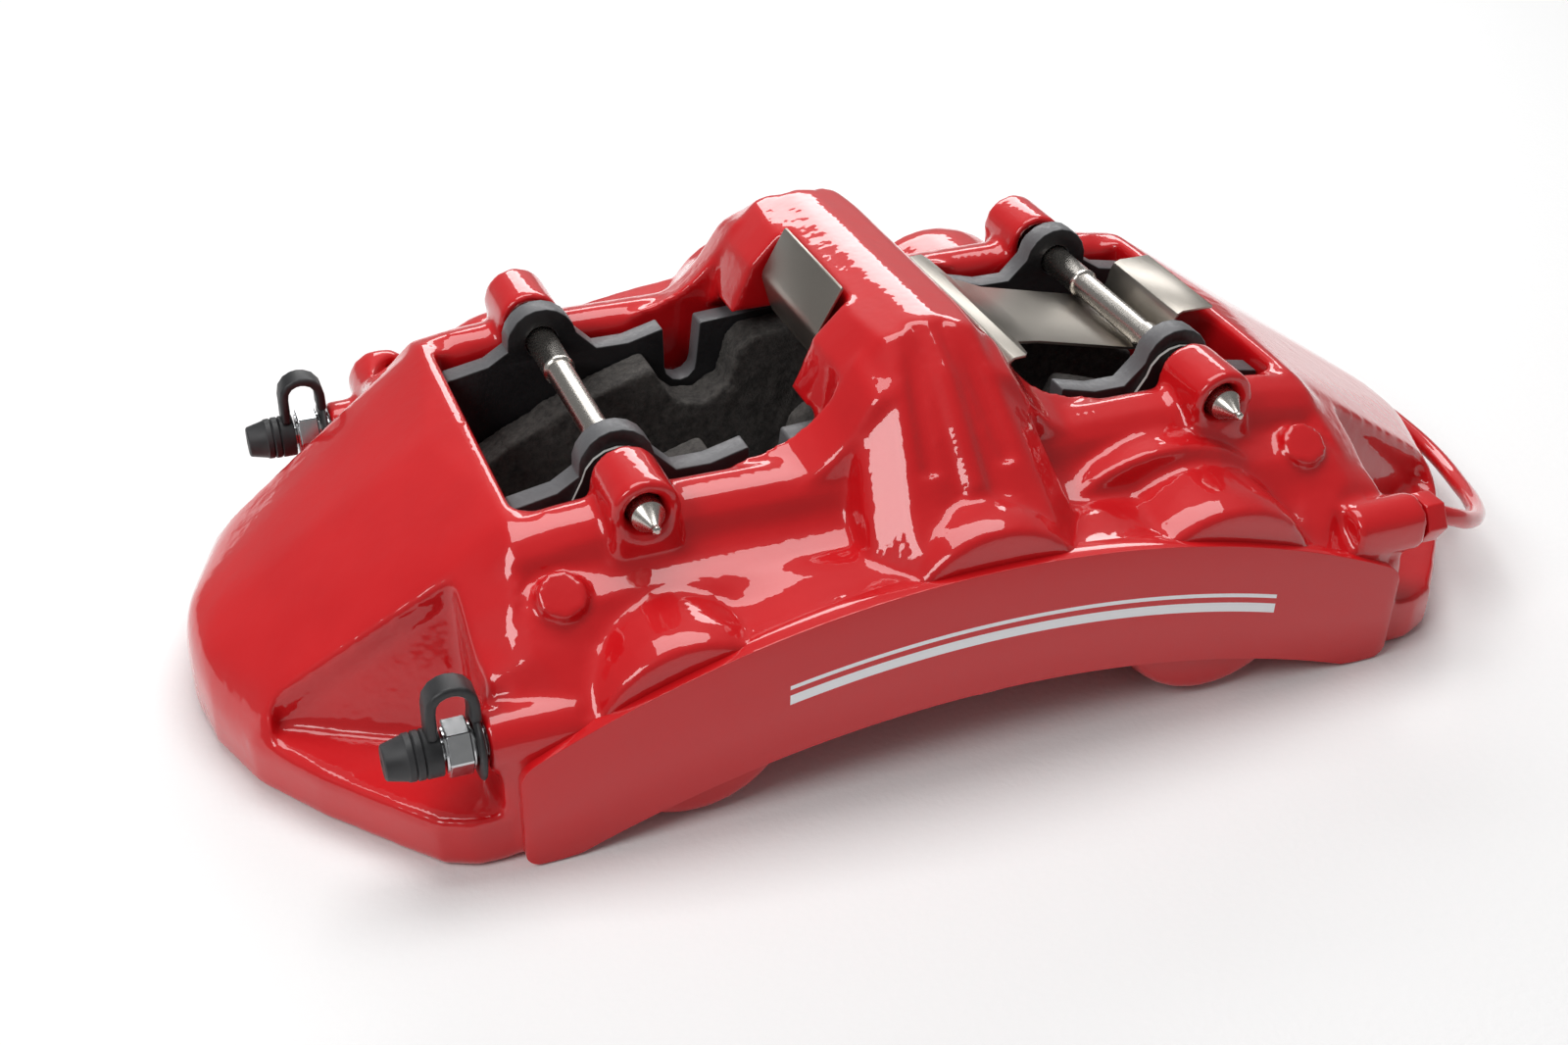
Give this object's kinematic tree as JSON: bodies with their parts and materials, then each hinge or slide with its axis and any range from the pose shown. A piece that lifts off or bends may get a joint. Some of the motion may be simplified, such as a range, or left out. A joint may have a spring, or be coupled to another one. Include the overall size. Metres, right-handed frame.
{
  "type": "brake caliper",
  "caption": "Fixed opposed-piston disc brake caliper in gloss paint, with its pads, shims, pad pins, pad spring, bleed screws and crossover pipe.",
  "frame": {"origin": "in the disc's middle plane, midway between the left nose and the crossover pipe, at the level of the ends' undersides that it stands on; the casting's own middle is 3.6 mm to the left", "axes": "+X along the caliper towards the end that the crossover pipe goes round, +Y from the wheel side to the hub side along the disc's axis, +Z away from the disc's axis"},
  "size_m": [0.3442, 0.1696, 0.091],
  "materials": {
    "red_paint": "gloss clear-coated paint",
    "piston_steel": "ground",
    "seal_rubber": "matt",
    "boot_rubber": "matt",
    "plate_coating": "satin black coating",
    "friction_lining": "granular friction material",
    "shim_coating": "black coated sheet",
    "pin_steel": "turned",
    "spring_steel": "rolled sheet",
    "screw_steel": "plated",
    "cap_rubber": "matt",
    "pipe_paint": "gloss paint",
    "plug_plastic": "moulded"
  },
  "bodies": {
    "root": {"caliper_body": "red_paint", "outboard_leading_seal": "seal_rubber", "outboard_leading_dust_boot": "boot_rubber", "outboard_middle_seal": "seal_rubber", "outboard_middle_dust_boot": "boot_rubber", "outboard_trailing_seal": "seal_rubber", "outboard_trailing_dust_boot": "boot_rubber", "inboard_leading_seal": "seal_rubber", "inboard_leading_dust_boot": "boot_rubber", "inboard_middle_seal": "seal_rubber", "inboard_middle_dust_boot": "boot_rubber", "inboard_trailing_seal": "seal_rubber", "inboard_trailing_dust_boot": "boot_rubber", "left_pad_pin": "pin_steel", "right_pad_pin": "pin_steel", "left_pin_sleeve": "spring_steel", "right_pin_sleeve": "spring_steel", "pad_spring": "spring_steel", "outboard_bleed_cap": "cap_rubber", "inboard_bleed_cap": "cap_rubber", "crossover_pipe": "pipe_paint", "outboard_pipe_nut": "pipe_paint", "inboard_pipe_nut": "pipe_paint", "hose_port_plug": "plug_plastic"},
    "outboard_pad": {"outboard_pad_plate": "plate_coating", "outboard_pad_lining": "friction_lining", "outboard_pad_shim": "shim_coating"},
    "outboard_leading_piston": {"outboard_leading_piston": "piston_steel"},
    "outboard_middle_piston": {"outboard_middle_piston": "piston_steel"},
    "outboard_trailing_piston": {"outboard_trailing_piston": "piston_steel"},
    "inboard_pad": {"inboard_pad_plate": "plate_coating", "inboard_pad_lining": "friction_lining", "inboard_pad_shim": "shim_coating"},
    "inboard_leading_piston": {"inboard_leading_piston": "piston_steel"},
    "inboard_middle_piston": {"inboard_middle_piston": "piston_steel"},
    "inboard_trailing_piston": {"inboard_trailing_piston": "piston_steel"},
    "outboard_bleed_screw": {"outboard_bleed_screw": "screw_steel"},
    "inboard_bleed_screw": {"inboard_bleed_screw": "screw_steel"}
  },
  "joints": [
    {"name": "outboard_pad_slide", "type": "slide", "parent": "root", "child": "outboard_pad", "axis": [0, 1, 0], "range_m": [-0.001, 0.009]},
    {"name": "outboard_leading_piston_slide", "type": "slide", "parent": "root", "child": "outboard_leading_piston", "axis": [0, 1, 0], "range_m": [-0.001, 0.009]},
    {"name": "outboard_middle_piston_slide", "type": "slide", "parent": "root", "child": "outboard_middle_piston", "axis": [0, 1, 0], "range_m": [-0.001, 0.009]},
    {"name": "outboard_trailing_piston_slide", "type": "slide", "parent": "root", "child": "outboard_trailing_piston", "axis": [0, 1, 0], "range_m": [-0.001, 0.009]},
    {"name": "inboard_pad_slide", "type": "slide", "parent": "root", "child": "inboard_pad", "axis": [0, -1, 0], "range_m": [-0.001, 0.009]},
    {"name": "inboard_leading_piston_slide", "type": "slide", "parent": "root", "child": "inboard_leading_piston", "axis": [0, -1, 0], "range_m": [-0.001, 0.009]},
    {"name": "inboard_middle_piston_slide", "type": "slide", "parent": "root", "child": "inboard_middle_piston", "axis": [0, -1, 0], "range_m": [-0.001, 0.009]},
    {"name": "inboard_trailing_piston_slide", "type": "slide", "parent": "root", "child": "inboard_trailing_piston", "axis": [0, -1, 0], "range_m": [-0.001, 0.009]},
    {"name": "outboard_bleed_screw_turn", "type": "hinge", "parent": "root", "child": "outboard_bleed_screw", "pos_m": [-0.1191, -0.0765, 0.03], "axis": [-1, 0, 0], "range_deg": [0, 180]},
    {"name": "inboard_bleed_screw_turn", "type": "hinge", "parent": "root", "child": "inboard_bleed_screw", "pos_m": [-0.1261, 0.0615, 0.031], "axis": [-1, 0, 0], "range_deg": [0, 180]}
  ],
  "couplings": [
    {"joint": "outboard_leading_piston_slide", "follows": "outboard_pad_slide", "ratio": 1},
    {"joint": "outboard_middle_piston_slide", "follows": "outboard_pad_slide", "ratio": 1},
    {"joint": "outboard_trailing_piston_slide", "follows": "outboard_pad_slide", "ratio": 1},
    {"joint": "inboard_leading_piston_slide", "follows": "inboard_pad_slide", "ratio": 1},
    {"joint": "inboard_middle_piston_slide", "follows": "inboard_pad_slide", "ratio": 1},
    {"joint": "inboard_trailing_piston_slide", "follows": "inboard_pad_slide", "ratio": 1}
  ]
}
